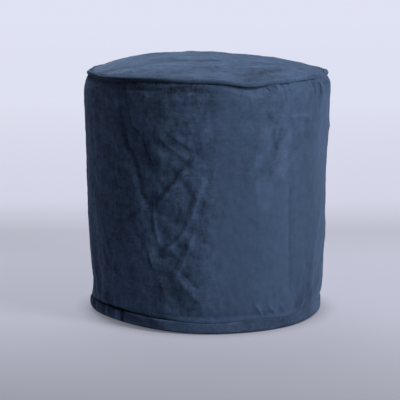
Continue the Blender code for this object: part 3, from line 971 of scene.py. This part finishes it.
# ---- top cloth
def crown_movement(x, y, angle, to_edge):
    """Wrinkles and crumple of the crown, its puckers and ditch by the seam, and its slump."""
    inner = ramp(to_edge, 0.004, 0.030)
    radial = smooth_noise(21, x.shape, 5, 2.6)
    move = line_field(CROWN_CREASES, x, y, on_side=False) / MM * ramp(to_edge, 0.003, 0.02)
    move = move + 0.00045 * crown_noise(x, y, 22, 0.020) * inner
    move = move + 0.00018 * crown_noise(x, y, 23, 0.007) * inner
    move = move + 0.0007 * radial * np.exp(-to_edge / 0.016) * ramp(to_edge, 0.002, 0.006)
    ditch = (0.0005 + risen(CROWN_DITCHES, angle)) * hump(to_edge, 0.0, 0.0030)
    slumped = 0.0022 * bell(np.hypot(x - 0.075, y - 0.060), 0.120)
    return move - ditch - slumped


def crown_nap_and_painted_light(x, y):
    """Painted highlights and painted shade along the crown's wrinkles and streaks, painted shade
    towards the front right, and mottled pile.
    """
    nap_and_painted_light = line_field(CROWN_SHADING_STROKES, x, y, on_side=False, profile=filled)
    # painted shade: darker towards the front right
    nap_and_painted_light = nap_and_painted_light - 0.21 * ramp(0.72 * x - 0.69 * y, 0.03, 0.18)
    return nap_and_painted_light + 0.10 * crown_noise(x, y, 24, 0.022) + 0.08 * crown_noise(x, y, 25, 0.008)


def top_piece():
    """The crowned top, a thin closed sheet whose edge turns down beside the piping."""
    angles = even_angles(CROWN_COLUMNS)
    seam = seam_heights(angles)
    edge_radius = PIPING_RING - CROWN_EDGE_IN
    fine = np.linspace(0.0, 1.0, CROWN_RINGS)
    shares = 1.0 - (1.0 - fine[1:]) ** 1.15
    share = np.broadcast_to(shares[:, None], (CROWN_RINGS - 1, CROWN_COLUMNS))
    angle = np.broadcast_to(angles, share.shape)
    mean_seam = seam.mean()
    height = crown_height(share, mean_seam + CROWN_EDGE_UP) + (seam - mean_seam) * share**4
    plan = round_points(angle, edge_radius * share, 0.0)
    x = plan[..., 0] + CROWN_LEAN * (1.0 - share**2) + TOP_SHIFT * share**2
    y = plan[..., 1]
    to_edge = edge_radius * (1.0 - share)
    upper = np.stack([x, y, height + crown_movement(x, y, angle, to_edge)], -1)
    lower = upper.copy()
    thicker = TOP_THICKNESS - TOP_EDGE_THICKNESS
    lower[..., 2] -= TOP_EDGE_THICKNESS + thicker * ramp(to_edge, 0.0, 0.006)
    flat = np.stack([x, y], -1)
    nap_and_painted_light = crown_nap_and_painted_light(x, y)
    piece = grid_piece(
        "top_cloth",
        np.concatenate([upper, lower[::-1]]),
        np.concatenate([flat, flat[::-1]]),
        top=(CROWN_LEAN, 0.0, CROWN_TOP),
        bottom=(CROWN_LEAN, 0.0, CROWN_TOP - TOP_THICKNESS),
        nap_and_painted_light=np.concatenate([nap_and_painted_light, nap_and_painted_light[::-1]]),
    )
    settle(piece, velvet("top_velvet", TOP_COLOUR), "top_panel")
    return piece


# ---- piping
def piping_piece():
    """The covered cord, a closed tube whose centre line follows the seam once round."""
    seam = seam_heights(HEADINGS)
    wobble = 0.04 * round_noise(31, 1, 1, 0.017) + 0.035 * round_noise(32, PIPING_SIDES, 2.0, 0.0032)
    tube = PIPING_RADIUS * (1.0 + wobble + risen(PIPING_LAP))
    ring = PIPING_RING + 0.0005 * round_noise(33, 1, 1, 0.022)[0]
    centre = seam + 0.0005 * round_noise(34, 1, 1, 0.020)[0]
    turns = turns_round(PIPING_SIDES)[:, None]
    radius = ring + tube * np.cos(turns)
    height = centre - tube * np.sin(turns)
    points = round_points(HEADINGS, radius, height)
    points[..., 0] += TOP_SHIFT
    flat = np.stack(np.broadcast_arrays(HEADINGS_ACROSS, turns * PIPING_RADIUS), -1)
    # painted highlight along the cord's upper outer side and painted shade round the rest, at the front
    # left
    painted_lit_side = hump(turns, 2.0 * math.pi - 0.7, 0.5)
    nap_and_painted_light = 0.1 * round_noise(35, PIPING_SIDES, 2, 0.010)
    nap_and_painted_light = nap_and_painted_light + risen(PIPING_PAINTED_LIGHT) * (0.70 * painted_lit_side - 0.60)
    piece = grid_piece("piping", points, flat, closed_down=True, nap_and_painted_light=nap_and_painted_light)
    settle(piece, velvet("piping_velvet", PIPING_COLOUR), "top_piping")
    return piece


# ---- band
def boxy(wave, corner):
    """A wave round a section, squarer the nearer corner is to 0."""
    return np.sign(wave)[:, None] * np.abs(wave)[:, None] ** corner


def band_joins():
    """At each heading, how far the lap stands out, a second fold, the dent beside them and a
    narrow strip on the lap's edge that gets a painted highlight."""
    join = turn_between(HEADINGS, JOIN_DEG)
    lap = np.where(join < 0, np.exp(-np.abs(join) / 1.6), hump(join, 0.0, 1.1))
    return lap, hump(join, -9.6, 1.1), hump(join, 2.4, 0.8), hump(join, -1.1, 0.9)


def band_nap_and_painted_light(height, lifted, top, outside):
    """The band's nap and painted light: painted shade at its lower edge, far left and upper part, a
    painted highlight on the lip at the front left, and painted highlights and shade at the join.
    """
    second, beside, lap_highlight = band_joins()[1:]
    edge = ramp(lifted + 0.0035 - height, 0.0, 0.0025)
    lip = ramp(0.42 - (height - lifted) / (top - lifted), 0.0, 0.10)
    # pile mottle, painted shade along the lower edge, and painted shade on the band from BAND_SHADES
    nap_and_painted_light = 0.12 * round_noise(44, BAND_SIDES, 6, 0.015) - 0.7 * edge + risen(BAND_SHADES)
    # painted highlight on the lower lip and painted shade on the upper part
    nap_and_painted_light = nap_and_painted_light + risen(BAND_LIP_HIGHLIGHT) * lip
    nap_and_painted_light = nap_and_painted_light + risen(BAND_TOP_PAINTED_SHADE) * (1.0 - lip)
    # painted highlights on the lap's edge and the second fold, painted shade in the dent beside them
    return nap_and_painted_light + (2.6 * lap_highlight + 2.0 * second - 1.6 * beside) * outside


def band_piece():
    """The strip round the foot: a closed section that is fuller where the frame's band is."""
    outer, top = band_edges(HEADINGS)
    outer = outer + risen(BAND_OUTWARD)
    lifted = 0.0008 + risen(BAND_LIFTS)
    turns = turns_round(BAND_SIDES)
    corner = 0.34 + 0.56 * risen(BAND_FULL)
    across_share = boxy(np.cos(turns), corner)
    radius = (outer + BAND_INNER) / 2 + (outer - BAND_INNER) / 2 * across_share
    height = lifted + (top - lifted) / 2 * (1.0 - boxy(np.sin(turns), corner))
    outside = ramp(across_share, 0.0, 0.8) * ramp(height - lifted, 0.0005, 0.005)
    crimp = 0.00025 + risen(BAND_CRIMPS)
    radius += outside * crimp * round_noise(41, BAND_SIDES, 6, 0.0054)
    radius += outside * 0.0005 * round_noise(42, 1, 1, 0.022)
    lap, second, beside = band_joins()[:3]
    radius += outside * (0.0036 * lap + 0.0030 * second - 0.0010 * beside)
    top_edge = ramp(height, 0.6 * BAND_HEIGHT, 0.95 * BAND_HEIGHT)
    height += top_edge * 0.0005 * round_noise(43, 1, 1, 0.015)
    points = round_points(HEADINGS, radius, height)
    flat = np.stack(np.broadcast_arrays(HEADINGS_ACROSS, height), -1)
    nap_and_painted_light = band_nap_and_painted_light(height, lifted, top, outside)
    piece = grid_piece("foot_band", points, flat, closed_down=True, nap_and_painted_light=nap_and_painted_light)
    settle(piece, velvet("band_velvet", BAND_COLOUR), "base_band")
    return piece


# ---- base
def base_piece():
    """The flat round underneath, with a softly turned edge, narrower and lifted at the front left."""
    angles = even_angles(BASE_COLUMNS)
    corner = BASE_THICKNESS / 2
    section = [(share * BASE_RADIUS, 0.0) for share in (0.25, 0.5, 0.75, 0.92)]
    for step in range(BASE_EDGE_STEPS + 1):
        turn = math.pi * (step / BASE_EDGE_STEPS - 0.5)
        rim = BASE_RADIUS - corner + corner * math.cos(turn)
        section.append((rim, corner + corner * math.sin(turn)))
    section += [(share * BASE_RADIUS, BASE_THICKNESS) for share in (0.75, 0.4)]
    narrowed = 1.0 - risen(FOOT_NARROWED, angles)
    rings = [round_points(angles, radius * narrowed, up) for radius, up in reversed(section)]
    points = np.array(rings)
    out = np.hypot(points[..., 0], points[..., 1])
    points[..., 2] += risen(BASE_LIFTS, angles) * ramp(out, 0.10, 0.19)
    flat = points[..., :2]
    top = (0.0, 0.0, BASE_THICKNESS)
    piece = grid_piece("base_cloth", points, flat, top=top, bottom=(0.0, 0.0, 0.0))
    settle(piece, plain_weave("base_cloth"), "base_panel")
    return piece


# ---- materials
class Nodes:
    """A material's node tree, with short calls for the nodes used here."""

    def __init__(self, name):
        self.material = bpy.data.materials.new(name)
        self.material.use_nodes = True
        self.tree = self.material.node_tree
        self.surface = self.tree.nodes["Principled BSDF"]

    def add(self, kind, **settings):
        node = self.tree.nodes.new(kind)
        for key, value in settings.items():
            setattr(node, key, value)
        return node

    def join(self, source, target):
        self.tree.links.new(source, target)

    def feed(self, key, source):
        self.join(source, self.surface.inputs[key])

    def fill(self, node, values):
        for key, value in values.items():
            node.inputs[key].default_value = value

    def flat_place(self):
        return self.add("ShaderNodeUVMap", uv_map="flat").outputs["UV"]

    def noise(self, place, scale, detail=2.0, rough=0.5, stretch=(1.0, 1.0, 1.0), warp=0.0):
        spread = self.add("ShaderNodeMapping")
        self.fill(spread, {"Scale": stretch})
        self.join(place, spread.inputs["Vector"])
        node = self.add("ShaderNodeTexNoise")
        self.fill(node, {"Scale": scale, "Detail": detail, "Roughness": rough, "Distortion": warp})
        self.join(spread.outputs["Vector"], node.inputs["Vector"])
        return node.outputs["Fac"]

    def maths(self, operation, first, second=0.0, third=0.0):
        node = self.add("ShaderNodeMath", operation=operation)
        for index, value in enumerate((first, second, third)):
            if isinstance(value, (int, float)):
                node.inputs[index].default_value = value
            else:
                self.join(value, node.inputs[index])
        return node.outputs[0]

    def spread(self, value, low, high, to_low, to_high):
        node = self.add("ShaderNodeMapRange")
        self.fill(node, {"From Min": low, "From Max": high, "To Min": to_low, "To Max": to_high})
        self.join(value, node.inputs["Value"])
        return node.outputs["Result"]

    def mix(self, share, low, high):
        node = self.add("ShaderNodeMix", data_type="RGBA")
        self.join(share, node.inputs["Factor"])
        self.fill(node, {"A": low, "B": high})
        return node.outputs["Result"]

    def bump(self, height, strength, distance, after=None):
        node = self.add("ShaderNodeBump")
        self.fill(node, {"Strength": strength, "Distance": distance})
        self.join(height, node.inputs["Height"])
        if after:
            self.join(after, node.inputs["Normal"])
        return node.outputs["Normal"]


def velvet(name, colour):
    """Short-pile velvet: a dark dyed pile, sheen at a slant, fine streaks, and the mesh's stroked
    patches of nap with its painted highlights and painted shade.
    """
    made = Nodes(name)
    place = made.flat_place()
    nap_and_light_from_mesh = made.add("ShaderNodeAttribute", attribute_name="nap_and_painted_light").outputs["Fac"]
    crush = made.add("ShaderNodeAttribute", attribute_name="crush").outputs["Fac"]
    mottle = 0.0
    for scale, detail, rough, stretch, warp, reach in MOTTLES:
        layer = made.noise(place, scale, detail, rough, stretch, warp)
        mottle = made.maths("ADD", mottle, made.spread(layer, 0.3, 0.7, -reach, reach))
    # the mesh's nap and painted highlights and shade, with the pile's mottle, make the colour lighter
    # or darker
    shade = made.maths("MULTIPLY_ADD", mottle, crush, nap_and_light_from_mesh)
    dark, light = ((*(channel * share for channel in colour), 1.0) for share in (DARKEST, LIGHTEST))
    dyed = made.mix(made.spread(shade, -NAP_AND_LIGHT_LIMIT, NAP_AND_LIGHT_LIMIT, 0.0, 1.0), dark, light)
    made.feed("Base Color", dyed)
    made.feed("Roughness", made.spread(shade, -NAP_AND_LIGHT_LIMIT, NAP_AND_LIGHT_LIMIT, 1.0, 0.78))
    pile = made.noise(place, 1900.0, 2.0, 0.6)
    tufts = made.noise(place, 420.0, 3.0, 0.6, stretch=(1.0, 0.7, 1.0))
    made.feed("Normal", made.bump(pile, 0.35, 0.0003, made.bump(tufts, 0.30, 0.0006)))
    made.fill(made.surface, VELVET_SURFACE)
    return made.material


def plain_weave(name):
    """Close plain-woven cloth: over and under threads half a millimetre apart."""
    made = Nodes(name)
    place = made.flat_place()
    parts = made.add("ShaderNodeSeparateXYZ")
    made.join(place, parts.inputs["Vector"])
    threads = 2.0 * math.pi / THREAD_PAIR
    warp = made.maths("SINE", made.maths("MULTIPLY", parts.outputs["X"], threads))
    weft = made.maths("SINE", made.maths("MULTIPLY", parts.outputs["Y"], threads))
    weave = made.maths("MULTIPLY_ADD", made.maths("MULTIPLY", warp, weft), 0.5, 0.5)
    mottle = made.noise(place, 120.0, 3.0, 0.6)
    halves = (made.maths("MULTIPLY", weave, 0.5), made.maths("MULTIPLY", mottle, 0.5))
    made.feed("Base Color", made.mix(made.maths("ADD", *halves), WEAVE_DARK, WEAVE_LIGHT))
    made.feed("Roughness", made.spread(mottle, 0.3, 0.7, 0.78, 0.92))
    made.feed("Normal", made.bump(weave, 0.5, 0.0002))
    made.fill(made.surface, {"Specular IOR Level": 0.25, "Sheen Weight": 0.10})
    return made.material


# ---- camera, floor and light
def camera():
    data = bpy.data.cameras.new("camera")
    data.sensor_width = 36.0
    data.lens = CAMERA_LENS
    data.clip_start = 0.05
    data.clip_end = 60.0
    data.dof.use_dof = False
    thing = placed("camera", data)
    thing.location = CAMERA_PLACE
    thing.rotation_euler = (math.pi / 2 - CAMERA_DOWN, 0.0, 0.0)
    bpy.context.scene.camera = thing


def floor_glow(made):
    """The floor's glow, painted light that changes by distance, as a colour ramp over y."""
    parts = made.add("ShaderNodeSeparateXYZ")
    made.join(made.add("ShaderNodeNewGeometry").outputs["Position"], parts.inputs["Vector"])
    front, back = FLOOR_TONES[0].y, FLOOR_TONES[-1].y
    tones = made.add("ShaderNodeValToRGB")
    made.join(made.spread(parts.outputs["Y"], front, back, 0.0, 1.0), tones.inputs["Fac"])
    elements = tones.color_ramp.elements
    while len(elements) < len(FLOOR_TONES):
        elements.new(0.5)
    for element, tone in zip(elements, FLOOR_TONES):
        element.position = (tone.y - front) / (back - front)
        element.color = (tone.red, tone.green, tone.blue, 1.0)
    return tones.outputs["Color"]


def floor():
    """A plain pale floor that glows a little as painted light, standing in for a lit table: darker at
    the front, lighter far behind, with a painted contact shadow near the footstool.
    """
    angles = even_angles(FLOOR_COLUMNS)
    points = np.array([round_points(angles, radius, FLOOR_HEIGHT) for radius in FLOOR_RADII])
    piece = grid_piece("floor", points, points[..., :2], top=(0.0, 0.0, FLOOR_HEIGHT))
    made = Nodes("floor")
    made.feed("Emission Color", floor_glow(made))
    # painted contact shadow: the floor's glow dims close to the footstool
    painted_contact_shadow = made.add("ShaderNodeAmbientOcclusion", samples=8)
    made.fill(painted_contact_shadow, {"Distance": 0.035})
    made.feed("Emission Strength", made.spread(painted_contact_shadow.outputs["AO"], 0.0, 1.0, 0.30, 1.0))
    made.fill(made.surface, FLOOR_SURFACE)
    piece.data.materials.append(made.material)


def lamp_at(lamp):
    """A round area light at a heading and elevation, aimed at the footstool."""
    data = bpy.data.lights.new(lamp.name, "AREA")
    data.shape = "DISK"
    data.size = lamp.size
    data.energy = lamp.power
    thing = placed(lamp.name, data)
    turn, rise = math.radians(lamp.heading_deg), math.radians(lamp.elevation_deg)
    level = math.cos(rise)
    out = Vector((math.sin(turn) * level, -math.cos(turn) * level, math.sin(rise)))
    thing.location = Vector(LIGHTS_AIM) + out * lamp.distance
    thing.rotation_euler = out.to_track_quat("Z", "Y").to_euler()


def lights():
    for lamp in LAMPS:
        lamp_at(lamp)
    world = bpy.data.worlds.new("studio")
    world.use_nodes = True
    background = world.node_tree.nodes["Background"].inputs
    background["Color"].default_value = WORLD_COLOUR
    background["Strength"].default_value = WORLD_STRENGTH
    bpy.context.scene.world = world
    bpy.context.scene.view_settings.view_transform = "Standard"


camera()
floor()
lights()
side_piece()
piping = piping_piece()
top = top_piece()
band = band_piece()
base_piece()
